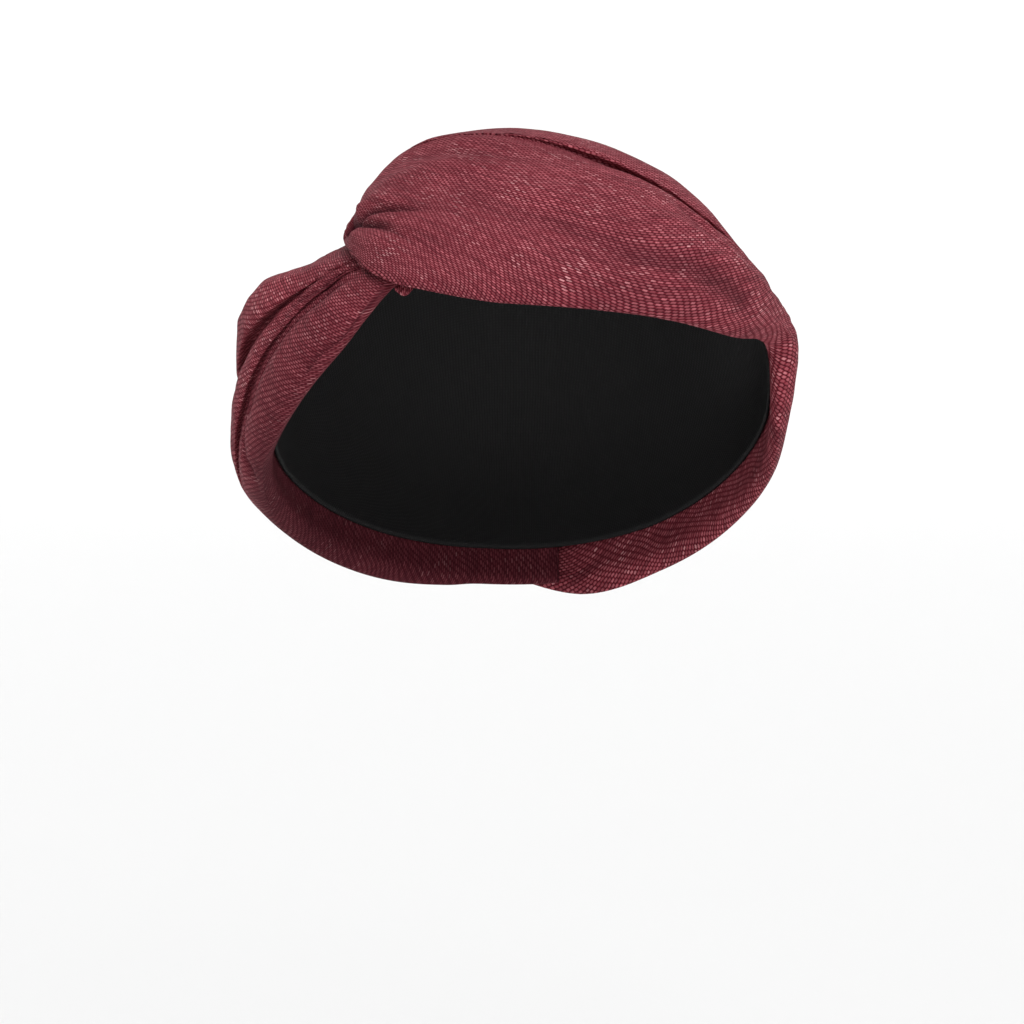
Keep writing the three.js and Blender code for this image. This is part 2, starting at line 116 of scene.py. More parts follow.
# Side drape, from under the knot round the -X side to the nape, in three pleats.
# low_fold and high_fold: shares of the way across where the two creases lie.
# lip, rim_pleat, low_valley, mid_pleat, high_valley, puff: lifts as shares of the way
# from pressed flat to SIDE_LOFT.
SIDE_COLUMNS = (
    "rim_psi", "rim_lam", "rear_psi", "rear_lam", "bulge", "low_fold", "high_fold",
    "lip", "rim_pleat", "low_valley", "mid_pleat", "high_valley", "puff",
)
SIDE_ROWS = (
    (-25, 10.4, -42.5, 34, 0.2, 0.3, 0.42, 0, 0, 0, 0, 0, 0),
    (-29, 8.1, -51.5, 38, 0.3, 0.3, 0.41, 0, 0, 0, 0, 0, 0),
    (-34.5, 3, -56.5, 38, 0.3, 0.33, 0.43, 0.03, 0.17, 0.13, 0.21, 0.14, 0.18),
    (-41, -2, -63, 37, 0.4, 0.34, 0.45, 0.08, 0.27, 0.23, 0.33, 0.27, 0.4),
    (-50, -5.5, -71, 36, 0.5, 0.33, 0.46, 0.12, 0.33, 0.29, 0.42, 0.37, 0.84),
    (-60, -8, -79, 35, 0.6, 0.31, 0.49, 0.16, 0.35, 0.32, 0.53, 0.48, 0.95),
    (-70, -9, -87, 34, 0.8, 0.245, 0.51, 0.22, 0.37, 0.35, 0.61, 0.54, 0.84),
    (-80, -8.5, -97, 34, 1, 0.16, 0.51, 0.36, 0.44, 0.4, 0.64, 0.54, 0.74),
    (-92, -8, -110, 34, 1, 0.085, 0.5, 0.42, 0.46, 0.42, 0.64, 0.54, 0.68),
    (-115, -6, -132, 35, 1, 0.08, 0.48, 0.34, 0.4, 0.41, 0.62, 0.52, 0.64),
    (-145, -4.5, -155, 36, 0.9, 0.08, 0.46, 0.28, 0.34, 0.34, 0.54, 0.44, 0.54),
    (-162, -3.5, -169, 36, 0.6, 0.1, 0.45, 0.12, 0.16, 0.15, 0.26, 0.2, 0.26),
    (-171, -3, -176, 36, 0.4, 0.12, 0.45, 0, 0, 0, 0, 0, 0),
    (-190, -3, -190, 36, 0.3, 0.15, 0.45, 0, 0, 0, 0, 0, 0),
)

# Fold lines on the drapes, each along a smooth line through map points (psi, lam).
# height: mm the line stands up, or lies in where negative.  width: mm to where it has
# fallen to a third.  sharp: 1 for a crease, 2 for a soft round ridge.
# fade_in, fade_out: shares of the line over which it comes in and dies away.
FRONT_FOLDS = (
    # Two creases that fan out from the knot
    (-3.8, 1.4, 1, 0.01, 0.55, (
        (-43.5, 30), (-40, 27.6), (-37.2, 26), (-34.8, 25.6), (-31.8, 24.8), (-26.7, 22.6),
        (-21.2, 20.2), (-16.9, 18.5), (-8, 14.5),
    )),
    (-3.5, 1.3, 1, 0.01, 0.5, (
        (-43.5, 29.6), (-41, 27.6), (-37.8, 25.4), (-34.3, 23.4), (-31.7, 21.8), (-28.6, 19.5),
        (-25.4, 16.7), (-22, 13.4), (-17, 10),
    )),
    # Soft ridges beside and between them
    (1.5, 3.2, 2, 0.1, 0.6, (
        (-39, 29), (-35, 28.2), (-31, 27.6), (-26, 25.6), (-19, 23.4), (-10, 19.5),
    )),
    (1.3, 2.6, 2, 0.1, 0.6, (
        (-37, 25), (-33, 24.2), (-30, 22.6), (-26, 20.2), (-21, 17), (-13, 13.4),
    )),
    (1.6, 3.6, 2, 0.1, 0.6, (
        (-39, 24), (-36, 21.5), (-32.5, 18.5), (-29, 15.4), (-24, 11.8), (-16, 8.6),
    )),
    # A ridge below the long fold, and a dent
    (1.4, 5, 2, 0.3, 0.45, (
        (-33.5, 42), (-24.7, 41.5), (-16, 39), (-10.8, 36.9), (4, 33.8), (16, 34.2),
    )),
    (-0.7, 4, 2, 0.3, 0.4, (
        (-33, 37), (-24, 36.6), (-14, 33.6), (-3, 30.2), (8, 28.6),
    )),
    # A ridge and a dent across the middle
    (0.9, 4.5, 2, 0.3, 0.3, (
        (-33, 32.2), (-26, 32.2), (-16.9, 30.1), (-7.8, 27.7), (3.6, 22.8), (14.9, 19.2),
        (26.3, 17.6),
    )),
    (-0.8, 4, 2, 0.3, 0.3, (
        (-20, 25.4), (-9, 21.4), (2, 16.8), (14, 12.6), (26, 11.4),
    )),
    # Two ridges and a dent along the low edge
    (1.1, 4.5, 2, 0.3, 0.2, (
        (-16.6, 27), (-6.5, 23.6), (0.9, 20.4), (15.7, 15.8), (29.5, 14.6), (39.5, 16.3),
        (49.5, 17.2), (57.4, 16.7),
    )),
    (1.0, 5, 2, 0.3, 0.3, (
        (-21.8, 13.5), (-15, 12.9), (-8.5, 11.4), (3.9, 6.8), (17.7, 3.9), (33.1, 4.2),
        (46, 6.4),
    )),
    (-1.5, 5, 2, 0.35, 0.15, (
        (14, 9.5), (23.8, 11.2), (35.3, 12.6), (44.4, 12.4), (55.7, 11.8),
    )),
    # A ridge and a crease that fall away to the right
    (0.9, 2.6, 2, 0.2, 0.3, (
        (16.4, 31.2), (25.9, 30.9), (35.5, 29.4), (43, 24.6), (48.4, 19.8), (57.3, 16.3),
    )),
    (-0.9, 2.4, 1, 0.3, 0.3, (
        (30, 28.8), (36, 26), (40.2, 23.2), (44.4, 21.4), (48, 18),
    )),
)
SIDE_FOLDS = (
    # Two creases from under the knot; the second turns down to the rim
    (-1.7, 1.5, 1, 0.1, 0.5, (
        (-35, 16.5), (-40, 17), (-44, 14.2), (-48, 12.8), (-53, 11.6), (-59, 9.2),
        (-64, 8.2),
    )),
    (-2.4, 1.6, 1, 0.1, 0.2, (
        (-34, 12.8), (-42.1, 12.3), (-47.9, 9.3), (-54.8, 7.4), (-60.1, 5.2), (-65.4, 3),
        (-69, -0.3), (-74, -1.5), (-77.8, -4.2), (-79.8, -7.5), (-83.8, -10.3), (-92.7, -10.9),
        (-105, -9),
    )),
    # A ridge along the middle pleat
    (0.8, 2.6, 2, 0.3, 0.5, (
        (-38, 24), (-50, 21), (-64, 19), (-80, 17), (-100, 15),
    )),
    # A crease along the puff
    (-0.8, 2.0, 1, 0.2, 0.5, (
        (-46, 30), (-58, 27), (-70, 25), (-84, 24),
    )),
    # A groove along the rim
    (-2.0, 0.8, 1, 0.05, 0.3, (
        (-29.3, 7), (-30.8, 5.6), (-34.7, 2.2), (-38.7, -1), (-45.1, -2.9), (-52.4, -6.1),
        (-60.8, -7.6),
    )),
)

# Small wavering along the cloth: cycles round the whole drape, cycles across, and height in mm,
# how many waves share each, how far their cycles spread, and how they drift
WAVERS = ((5, 7, 0.26), (9, 12, 0.14), (17, 20, 0.06))
WAVER_SEED = 7
WAVES_EACH = 4
WAVER_SPREAD = (0.6, 1.3)
WAVER_DRIFT = 2

# It comes in over this rise in mm above pressed flat, and dies away between these slopes,
# each taken over a run of at least STEEP_RUN
WAVER_RISE = 4
LEVEL_SLOPES = (0.5, 1.2)
STEEP_RUN = 0.05

# Shares of a drape's length between which its cloth map's rows come to advance evenly
EVEN_FROM = (0.52, 0.72)

# The same for its columns towards the rear edge, and how far they come to it
REAR_FROM = (0.6, 0.85)
REAR_EVEN = 0.7

# A crease this deep, in mm, has its full painted shade
DEEPEST = 2.4

# Painted shade darkens the cloth where it lies low, near the black lining: it fades out between
# these lifts, and grows from its least share to all of it between these psi on the -X side
NEAR_LINING = (7, 15)
NEAR_PSI = (35, 85)
NEAR_LEAST = 0.3
SIDE_LINING_SHADE = 0.8

# Gathers of the crown, spreading from the knot
GATHER_CENTRE = (-46, 36)
GATHER_COUNT = 9
GATHER_DEPTH = 0.12
FINE_GATHERS = 31
FINE_GATHER_DEPTH = 0.04
GATHER_SWAY = 2
GATHER_SWAYS = 5
CROWN_SWELL = 24
CROWN_START = 2

# The crown's lower edge runs this far above the hems' top, in mm
CROWN_OVER_HEM = 3 * CLOTH_WALL

# Between which psi the line of the rear edges follows each drape
FRONT_REAR = (-40, 180)
SIDE_REAR = (-180, -50)

# The scrap: the middle of its top edge, how much narrower it grows downwards, how round its
# lower edge is, and the ripples across it
TAIL_TOP = (-23.8, 7.8)
TAIL_TAPER = 0.3
TAIL_ROUNDING = 0.8
TAIL_RIPPLE = 0.3
TAIL_RIPPLES = 5

# Where a drape's stops lie besides its table's folds, and the hem's greatest share of a row
HEM_LIMIT = 0.7
FRONT_STOPS = {"low": 0.4, "crest": 0.82, "back": 0.25, "tuck": 0.78, "tuck_fall": 0.45}
SIDE_STOPS = {"rim_pleat": 0.5, "mid_pleat": 0.45, "puff": 0.42, "tuck": 0.74, "tuck_fall": 0.45}
CREASE_LEAN = 0.3
FACE_LEAN = 0.12

# Mesh steps, and the lam just short of the pole where a dome's rows end
ROW_STEPS = 14
SECTION_STEPS = 11
FOLD_STEPS = 10
ROUND_STEPS = 240
DOME_STEPS = 64
LENGTH_STEPS = 8
TAIL_STEPS = (25, 13)
POLE_LAM = 89.9

# Stops nearer to each other than this count as one
NO_SPREAD = 1e-4

RIM_MM_PER_DEGREE = math.radians(CROWN_HEIGHT)
RADII = np.array((HEAD_WIDTH / 2, HEAD_LENGTH / 2, CROWN_HEIGHT))
TILT = math.radians(WORN_TILT)
AXES = np.array((
    (1, 0, 0),
    (0, -math.cos(TILT), math.sin(TILT)),
    (0, math.sin(TILT), math.cos(TILT)),
))


def highest_point():
    """The head form's highest point in the world, seen from its centre."""
    height = AXES[:, 2] * RADII
    return (RADII * height / np.linalg.norm(height)) @ AXES


HEAD_CENTRE = -highest_point()


def unit_points(psi, lam):
    psi, lam = np.broadcast_arrays(np.radians(psi), np.radians(lam))
    return np.stack((np.sin(psi) * np.cos(lam), np.cos(psi) * np.cos(lam), np.sin(lam)), -1)


def flare(psi, lam):
    across = (psi - FLARE["psi"]) / FLARE["psi_spread"]
    climb = (lam - FLARE["lam"]) / FLARE["lam_spread"]
    return FLARE_HEIGHT * np.exp(-across ** 2 - climb ** 2)


def place(psi, lam, lift):
    """World points at map coordinates, in mm."""
    unit = unit_points(psi, lam)
    normal = unit / RADII
    normal = normal / np.linalg.norm(normal, axis=-1, keepdims=True)
    height = np.broadcast_to(lift + flare(np.asarray(psi), np.asarray(lam)), unit.shape[:-1])
    return (unit * RADII + normal * height[..., None]) @ AXES + HEAD_CENTRE


def mix(a, b, share):
    return a + (b - a) * share


def smoothstep(value, low, high):
    share = np.clip((value - low) / (high - low), 0, 1)
    return share * share * (3 - 2 * share)


def smooth_rows(rows, steps):
    """Rows between the given ones, on a smooth curve through them."""
    rows = np.asarray(rows, float)
    last = len(rows) - 1
    at = np.arange(last * steps + 1) / steps
    start = np.minimum(at.astype(int), last - 1)
    t = (at - start)[:, None]
    before, here = rows[np.maximum(start - 1, 0)], rows[start]
    there, after = rows[start + 1], rows[np.minimum(start + 2, last)]
    leave, arrive = (there - before) / 2, (after - here) / 2
    drop = here - there
    return ((2 * drop + leave + arrive) * t - 3 * drop - 2 * leave - arrive) * t * t + leave * t + here


def named_columns(columns, rows):
    blended = smooth_rows(rows, ROW_STEPS)
    return dict(zip(columns, blended.T))


def across_length(row):
    """Distance across each row, over the head from its rim to its rear edge."""
    share = np.linspace(0, 1, LENGTH_STEPS + 1)[None]
    psi = mix(row["rim_psi"][:, None], row["rear_psi"][:, None], share)
    lam = mix(row["rim_lam"][:, None], row["rear_lam"][:, None], share)
    points = place(psi, lam, 0)
    return np.linalg.norm(np.diff(points, axis=1), axis=-1).sum(1)


def curve_through(stops, steps):
    """Points on a centripetal Catmull-Rom curve through stops[rows, stops, 3]."""
    first = 2 * stops[:, :1] - stops[:, 1:2]
    final = 2 * stops[:, -1:] - stops[:, -2:-1]
    ring = np.concatenate((first, stops, final), 1)
    spread = np.sqrt(np.linalg.norm(np.diff(ring, axis=1), axis=-1))
    parts = []
    for i, count in enumerate(steps):
        p0, p1, p2, p3 = (ring[:, i + k] for k in range(4))
        d0, d1, d2 = (spread[:, i + k, None] for k in range(3))
        d1 = np.maximum(d1, NO_SPREAD)
        d0 = np.where(d0 < NO_SPREAD, d1, d0)
        d2 = np.where(d2 < NO_SPREAD, d1, d2)
        leave = ((p1 - p0) / d0 - (p2 - p0) / (d0 + d1) + (p2 - p1) / d1) * d1
        arrive = ((p2 - p1) / d1 - (p3 - p1) / (d1 + d2) + (p3 - p2) / d2) * d1
        t = (np.arange(count) / count)[None, :, None]
        p1, p2, leave, arrive = (part[:, None] for part in (p1, p2, leave, arrive))
        square = 3 * (p2 - p1) - 2 * leave - arrive
        cubic = 2 * (p1 - p2) + leave + arrive
        parts.append(p1 + (leave + (square + cubic * t) * t) * t)
    parts.append(stops[:, -1:])
    return np.concatenate(parts, 1)


def cross_sections(row, stops):
    """A drape's cross-sections in map coordinates: psi, lam and lift, each [rows, points]."""
    shape = row["rim_psi"].shape
    share = np.stack([np.broadcast_to(stop[0], shape) for stop in stops], 1)
    lift = np.stack([np.broadcast_to(stop[1], shape) for stop in stops], 1)
    psi = mix(row["rim_psi"][:, None], row["rear_psi"][:, None], share)
    lam = mix(row["rim_lam"][:, None], row["rear_lam"][:, None], share)
    steps = [stop[2] * SECTION_STEPS for stop in stops[:-1]]
    curve = curve_through(np.stack((psi, lam, lift / RIM_MM_PER_DEGREE), -1), steps)
    return curve[..., 0], curve[..., 1], curve[..., 2] * RIM_MM_PER_DEGREE


def hem_stops(row, seat, lip, length):
    """The turned-in hem and the rolled rim, which start every drape's section."""
    hem = np.minimum(HEM_DEPTH / length, HEM_LIMIT)
    roll = ROLL_DEPTH * row["bulge"] / length
    return [(hem, seat, 1), (hem / 2, seat, 1), (0, seat, 2), (-roll, (seat + lip) / 2, 2)]


def crease_stops(share, valley, next_lift, length):
    """A crease: the cloth dips into it and the next pleat leans over it."""
    step = (next_lift - valley) / length
    return [
        (share + step * CREASE_LEAN, valley, 1),
        (share - step * FACE_LEAN, (valley + next_lift) / 2, 1),
    ]


def front_sections(row):
    length = across_length(row)
    under = np.clip(row["under"], 0, 1)
    seat = mix(FIRST_LAYER, SECOND_LAYER, under)
    flat = seat + HEM_PAIR
    raised = {
        name: flat + np.maximum(row[name], 0) * (FRONT_LOFT - flat)
        for name in ("lip", "low", "crest", "valley", "back")
    }
    rear = mix(SIDE_FLAT, SECOND_LAYER + CLOTH_WALL, under)
    fold = row["fold"]
    return cross_sections(row, [
        *hem_stops(row, seat, raised["lip"], length),
        (0, raised["lip"], 3),
        (fold * FRONT_STOPS["low"], raised["low"], 4),
        (fold * FRONT_STOPS["crest"], raised["crest"], 1),
        *crease_stops(fold, raised["valley"], raised["back"], length),
        (mix(fold, 1, FRONT_STOPS["back"]), raised["back"], 2),
        (mix(fold, 1, FRONT_STOPS["tuck"]), mix(raised["back"], rear, FRONT_STOPS["tuck_fall"]), 1),
        (1, rear, 1),
    ])


def side_sections(row):
    length = across_length(row)
    raised = {
        name: SIDE_FLAT + np.maximum(row[name], 0) * (SIDE_LOFT - SIDE_FLAT)
        for name in ("lip", "rim_pleat", "low_valley", "mid_pleat", "high_valley", "puff")
    }
    low, high = row["low_fold"], row["high_fold"]
    tuck_lift = mix(raised["puff"], SIDE_FLAT, SIDE_STOPS["tuck_fall"])
    return cross_sections(row, [
        *hem_stops(row, FIRST_LAYER, raised["lip"], length),
        (0, raised["lip"], 1),
        (low * SIDE_STOPS["rim_pleat"], raised["rim_pleat"], 2),
        *crease_stops(low, raised["low_valley"], raised["mid_pleat"], length),
        (mix(low, high, SIDE_STOPS["mid_pleat"]), raised["mid_pleat"], 2),
        *crease_stops(high, raised["high_valley"], raised["puff"], length),
        (mix(high, 1, SIDE_STOPS["puff"]), raised["puff"], 2),
        (mix(high, 1, SIDE_STOPS["tuck"]), tuck_lift, 1),
        (1, SIDE_FLAT, 1),
    ])


def line_distance(points, path):
    """Distance in mm from points on the head to a line over it, and the share along it."""
    line = smooth_rows(path, FOLD_STEPS)
    line = place(line[:, 0], line[:, 1], 0)
    nearest = np.full(points.shape[:-1], np.inf)
    along = np.zeros(points.shape[:-1])
    for i in range(len(line) - 1):
        run = line[i + 1] - line[i]
        share = np.clip(((points - line[i]) @ run) / (run @ run), 0, 1)
        distance = np.linalg.norm(points - line[i] - share[..., None] * run, axis=-1)
        closer = distance < nearest
        nearest = np.where(closer, distance, nearest)
        along = np.where(closer, (i + share) / (len(line) - 1), along)
    return nearest, along


def fold_relief(psi, lam, folds):
    """Height in mm that the named fold lines add at map points."""
    points = place(psi, lam, 0)
    relief = np.zeros(psi.shape)
    for fold in folds:
        height, width, sharp, fade_in, fade_out, path = fold
        distance, along = line_distance(points, path)
        fade = smoothstep(along, 0, fade_in) * (1 - smoothstep(along, 1 - fade_out, 1))
        relief += height * fade * np.exp(-(distance / width) ** sharp)
    return relief


def waver(shape):
    """Small irregular ups and downs that run along the cloth."""
    random = np.random.default_rng(WAVER_SEED)
    along = np.linspace(0, 1, shape[0])[:, None]
    across = np.linspace(0, 1, shape[1])[None]
    height = np.zeros(shape)
    for round_cycles, across_cycles, size in WAVERS:
        for _ in range(WAVES_EACH):
            phase = random.uniform(0, 2 * math.pi, 3)
            turn = round_cycles * random.uniform(*WAVER_SPREAD)
            cross = across_cycles * random.uniform(*WAVER_SPREAD)
            drift = WAVER_DRIFT * np.sin(2 * math.pi * turn * along + phase[0])
            height += size / 2 * np.sin(2 * math.pi * cross * across + drift + phase[1])
    return height


def drape_points(row, sections, folds, lining_shade_share):
    """A drape's outer points in mm, its cloth map and its painted shade, each on the same grid."""
    psi, lam, lift = sections(row)
    seat = lift[:, :1]
    flat = seat + HEM_PAIR
    columns = np.arange(lift.shape[1])[None]
    folded = np.argmax(lift > seat + CLOTH_WALL, axis=1)[:, None]
    fullness = smoothstep(lift, flat, flat + WAVER_RISE)
    spots = place(psi, lam, 0)
    run = np.linalg.norm(np.gradient(spots, axis=1), axis=-1)
    slope = np.abs(np.gradient(lift, axis=1)) / np.maximum(run, STEEP_RUN)
    level = 1 - smoothstep(slope, *LEVEL_SLOPES)
    folds_relief = fold_relief(psi, lam, folds)
    relief = folds_relief + waver(psi.shape) * fullness * level
    relief = np.where(columns > folded, relief, 0)
    # Painted shade: dark in the creases of the fold lines, and on low cloth near the lining on the -X
    # side
    aside = mix(NEAR_LEAST, 1, smoothstep(-psi, *NEAR_PSI))
    lining_shade = lining_shade_share * (1 - smoothstep(lift, *NEAR_LINING)) * aside
    painted_shade = np.maximum(np.clip(-folds_relief / DEEPEST, 0, 1) * (columns > folded), lining_shade)
    folded_lift = np.maximum(lift + relief, np.minimum(lift, flat))
    return place(psi, lam, folded_lift), cloth_map(place(psi, lam, lift)), painted_shade


def inner_points(outer, wall):
    """The same cloth one wall further in, by the grid's own normals."""
    along = np.gradient(outer, axis=0)
    across = np.gradient(outer, axis=1)
    inward = np.cross(across, along)
    return outer + wall * inward / np.linalg.norm(inward, axis=-1, keepdims=True)


def cloth_map(points):
    """Lengths along and across the cloth in metres, from its middle."""
    steps = np.linalg.norm(np.diff(points, axis=0), axis=-1)
    even = smoothstep(np.linspace(0, 1, len(steps))[:, None], *EVEN_FROM)
    rear = smoothstep(np.linspace(0, 1, points.shape[1])[None], *REAR_FROM) * REAR_EVEN
    steps = mix(steps, steps.mean(1, keepdims=True), np.maximum(even, rear))
    along = np.zeros(points.shape[:2])
    along[1:] = steps.cumsum(0)
    across = np.zeros(points.shape[:2])
    across[:, 1:] = np.linalg.norm(np.diff(points, axis=1), axis=-1).cumsum(1)
    along -= along[len(points) // 2]
    across -= across[:, points.shape[1] // 2, None]
    return np.stack((along, across), -1) * MM


def closed_mesh(name, outer, inner, cloth, painted_shade=None, ring=False):
    """A closed body between two grids of points; ring joins the last row to the first.

    cloth gives each point its place on the cloth, and the next its painted shade, in the crease
    attribute."""
    rows, columns = outer.shape[:2]
    count = rows * columns
    index = np.arange(count).reshape(rows, columns)
    if ring:
        index = np.concatenate((index, index[:1]))
    a, b, c, d = index[:-1, :-1], index[1:, :-1], index[1:, 1:], index[:-1, 1:]
    faces = [
        np.stack((a, b, c, d), -1).reshape(-1, 4),
        np.stack((a, d, c, b), -1).reshape(-1, 4) + count,
    ]
    borders = [(index[:, 0], False), (index[:, -1], True)]
    if not ring:
        borders += [(index[0], True), (index[-1], False)]
    for line, turned in borders:
        here, there = (line[1:], line[:-1]) if turned else (line[:-1], line[1:])
        faces.append(np.stack((here + count, there + count, there, here), -1))
    faces = np.concatenate(faces)
    points = np.concatenate((outer.reshape(-1, 3), inner.reshape(-1, 3))) * MM
    mesh = bpy.data.meshes.new(name)
    mesh.from_pydata(points.tolist(), [], faces.tolist())
    layer = mesh.uv_layers.new(name="cloth")
    spots = np.concatenate((cloth.reshape(-1, 2), cloth.reshape(-1, 2)))
    layer.data.foreach_set("uv", spots[faces.reshape(-1)].astype(np.float32).reshape(-1))
    # The painted shade of creases and low cloth near the lining, for the material to darken by
    if painted_shade is not None:
        crease = mesh.attributes.new("crease", "FLOAT", "POINT")
        crease.data.foreach_set("value", np.tile(painted_shade.reshape(-1), 2).astype(np.float32))
    mesh.polygons.foreach_set("use_smooth", np.ones(len(faces), bool))
    mesh.update()
    mesh.validate()
    piece = bpy.data.objects.new(name, mesh)
    bpy.context.scene.collection.objects.link(piece)
    return piece


# Lines round the head that the lining and the crown follow

def round_line(points):
    """The lam of a line that runs round the whole head, from its points (psi, lam)."""
    ordered = sorted(points)
    psi = np.array([point[0] for point in ordered])
    lam = np.array([point[1] for point in ordered])
    return lambda at: np.interp(at, psi, lam, period=360)


def table(columns, rows):
    return [dict(zip(columns, row)) for row in rows]


FRONT_TABLE = table(FRONT_COLUMNS, FRONT_ROWS)
SIDE_TABLE = table(SIDE_COLUMNS, SIDE_ROWS)


def rim_rows():
    """The rows whose rim shows as the wrap's lower edge, once round the head."""
    front = [row for row in FRONT_TABLE if row["under"] < 1]
    first = SIDE_TABLE[0]["rim_psi"]
    side = [row for row in SIDE_TABLE if -180 < row["rim_psi"] < first]
    return front + side


def lining_edge(psi):
    line = round_line([(row["rim_psi"], row["rim_lam"]) for row in rim_rows()])
    return line(psi) + LINING_SETBACK / RIM_MM_PER_DEGREE


def hem_top(psi):
    """The line just above the top of the turned-in hems."""
    rows = rim_rows() + [SIDE_TABLE[0]]
    named = {name: np.array([row[name] for row in rows], float) for name in SIDE_COLUMNS[:4]}
    share = np.minimum(HEM_DEPTH / across_length(named), HEM_LIMIT)
    top_psi = mix(named["rim_psi"], named["rear_psi"], share)
    top_lam = mix(named["rim_lam"], named["rear_lam"], share)
    return round_line(zip(top_psi, top_lam))(psi) + CROWN_OVER_HEM / RIM_MM_PER_DEGREE


def rear_line(psi):
    front = [row for row in FRONT_TABLE if FRONT_REAR[0] < row["rear_psi"] < FRONT_REAR[1]]
    side = [row for row in SIDE_TABLE if SIDE_REAR[0] < row["rear_psi"] < SIDE_REAR[1]]
    return round_line([(row["rear_psi"], row["rear_lam"]) for row in front + side])(psi)


def dome(name, edge, outer_lift, wall):
    """A cup of cloth from its edge line up to the pole, a wall thick."""
    psi = np.linspace(-180, 180, ROUND_STEPS, endpoint=False)[:, None]
    share = np.linspace(0, 1, DOME_STEPS)[None]
    lam = mix(edge(psi), POLE_LAM, share)
    lift = outer_lift(psi, lam)
    outer = place(psi, lam, lift)
    inner = place(psi, lam, lift - wall)
    away = np.radians(90 - lam) * HEAD_WIDTH * MM / 2
    round_the_pole = np.radians(psi)
    flat = np.stack((np.sin(round_the_pole) * away, np.cos(round_the_pole) * away), -1)
    return closed_mesh(name, outer, inner, flat, ring=True)


def make_lining():
    return dome("lining", lining_edge, lambda psi, lam: LINING_WALL, LINING_WALL)


def make_crown():
    knot = unit_points(*GATHER_CENTRE)[:2]

    def lift(psi, lam):
        start = rear_line(psi) + CROWN_START
        rise = smoothstep(lam, start, np.minimum(start + CROWN_SWELL, 90))
        away = unit_points(psi, lam)[..., :2] - knot
        distance = np.linalg.norm(away, axis=-1)
        angle = np.arctan2(away[..., 1], away[..., 0])
        gather = np.cos(angle * GATHER_COUNT) * GATHER_DEPTH * np.minimum(distance, 1)
        sway = GATHER_SWAY * np.sin(angle * GATHER_SWAYS)
        fine = np.cos(angle * FINE_GATHERS + sway) * FINE_GATHER_DEPTH
        full = 1 - GATHER_DEPTH + gather + fine * np.minimum(distance, 1)
        return CROWN_EDGE + (CROWN_LOFT - CROWN_EDGE) * rise * full

    return dome("crown", hem_top, lift, SHOWN_WALL)


def make_front():
    row = named_columns(FRONT_COLUMNS, FRONT_ROWS)
    outer, cloth, painted_shade = drape_points(row, front_sections, FRONT_FOLDS, 0)
    return closed_mesh("front", outer, inner_points(outer, SHOWN_WALL), cloth, painted_shade)


def make_side():
    row = named_columns(SIDE_COLUMNS, SIDE_ROWS)
    parts = drape_points(row, side_sections, SIDE_FOLDS, SIDE_LINING_SHADE)
    outer, cloth, painted_shade = (part[::-1] for part in parts)
    return closed_mesh("side", outer, inner_points(outer, SHOWN_WALL), cloth, painted_shade)


def make_tail():
    """The scrap of turned cloth that peeps out under the front drape beside the knot."""
    across = np.linspace(-1, 1, TAIL_STEPS[0])[:, None]
    down = 1 - np.linspace(0, 1, TAIL_STEPS[1])[None]
    half = TAIL_WIDTH / 2 / RIM_MM_PER_DEGREE
    reach = TAIL_DROP / RIM_MM_PER_DEGREE * np.sqrt(1 - TAIL_ROUNDING * across ** 2)
    psi = TAIL_TOP[0] + across * half * (1 - TAIL_TAPER * down)
    lam = TAIL_TOP[1] - reach * down
    ripple = TAIL_RIPPLE * np.sin(across * TAIL_RIPPLES) * down
    outer = place(psi, lam, SIDE_FLAT + ripple)
    return closed_mesh("tail", outer, inner_points(outer, SHOWN_WALL), cloth_map(outer))


# Burgundy twill, in linear colour
GAP = (0.030, 0.0030, 0.0068, 1)
YARN = (0.180, 0.0200, 0.0315, 1)
FLOAT = (0.570, 0.1560, 0.1840, 1)
# The last is the colour of painted highlights, glints on the floats
GLINT = (0.850, 0.4600, 0.4700, 1)

# Its yarns and floats in metres, each float's step on, the share of the yarns' slope that
# the rows of floats lean by, and how far the yarns wander, in yarns
YARN_PITCH = 0.00084
FLOAT_PITCH = 0.0025
FLOAT_STEP = 0.36
FLOAT_LEAN = 0.5
SWAY = 2.5
DRIFT = 10
JITTER = 0.5

# Scales of its noises, in cycles to the metre
SWAY_SCALE = 38
DRIFT_SCALE = 14
JITTER_SCALE = 520
FUZZ_SCALE = 2600
TONE_SCALE = 24
PATCH_SCALE = 60

# Streaks along a yarn: their scale in yarns, and how little of it each float counts for
STREAK_SCALE = 0.8
STREAK_ALONG = 0.12

# Where a yarn and a float fade in from their edges, as shares of hump()
YARN_EDGE = (0.05, 0.6)
FLOAT_EDGE = (0.04, 0.55)

# How much of a gap a float over it closes, and the fuzz of gaps and floats: share and least
GAP_CLOSED = 0.75
GAP_FUZZ = (0.8, 0.6)
FLOAT_FUZZ = (1.2, 0.4)

# How pale one float is beside another, by chance: share and least
FLOAT_CHANCE = (0.6, 0.25)

# Painted highlights, glints on the few brightest floats: their chance, the patches they lie in, their
# cores and their share
GLINT_CHANCE = (0.66, 1.0)
GLINT_PATCH = (0.44, 0.7)
GLINT_CORE = (0.6, 1.0)
GLINT_SHARE = 0.6

# Darker streaks and broad patches: the noise from pale to dark, and how dark each may be
SHADE_RANGE = (0.62, 0.3)
STREAK_DARK = 0.4
TONE_DARK = 0.22
# How far the painted shade in creases and near the lining darkens the cloth towards GAP
PAINTED_SHADE_DARK = 0.88

# Shares of the bump that floats, yarns and fuzz make, its strength, and its height in metres
FLOAT_RISE = 0.6
YARN_RISE = 0.4
FUZZ_RISE = 0.25
BUMP_STRENGTH = 0.5
BUMP_HEIGHT = 0.0003

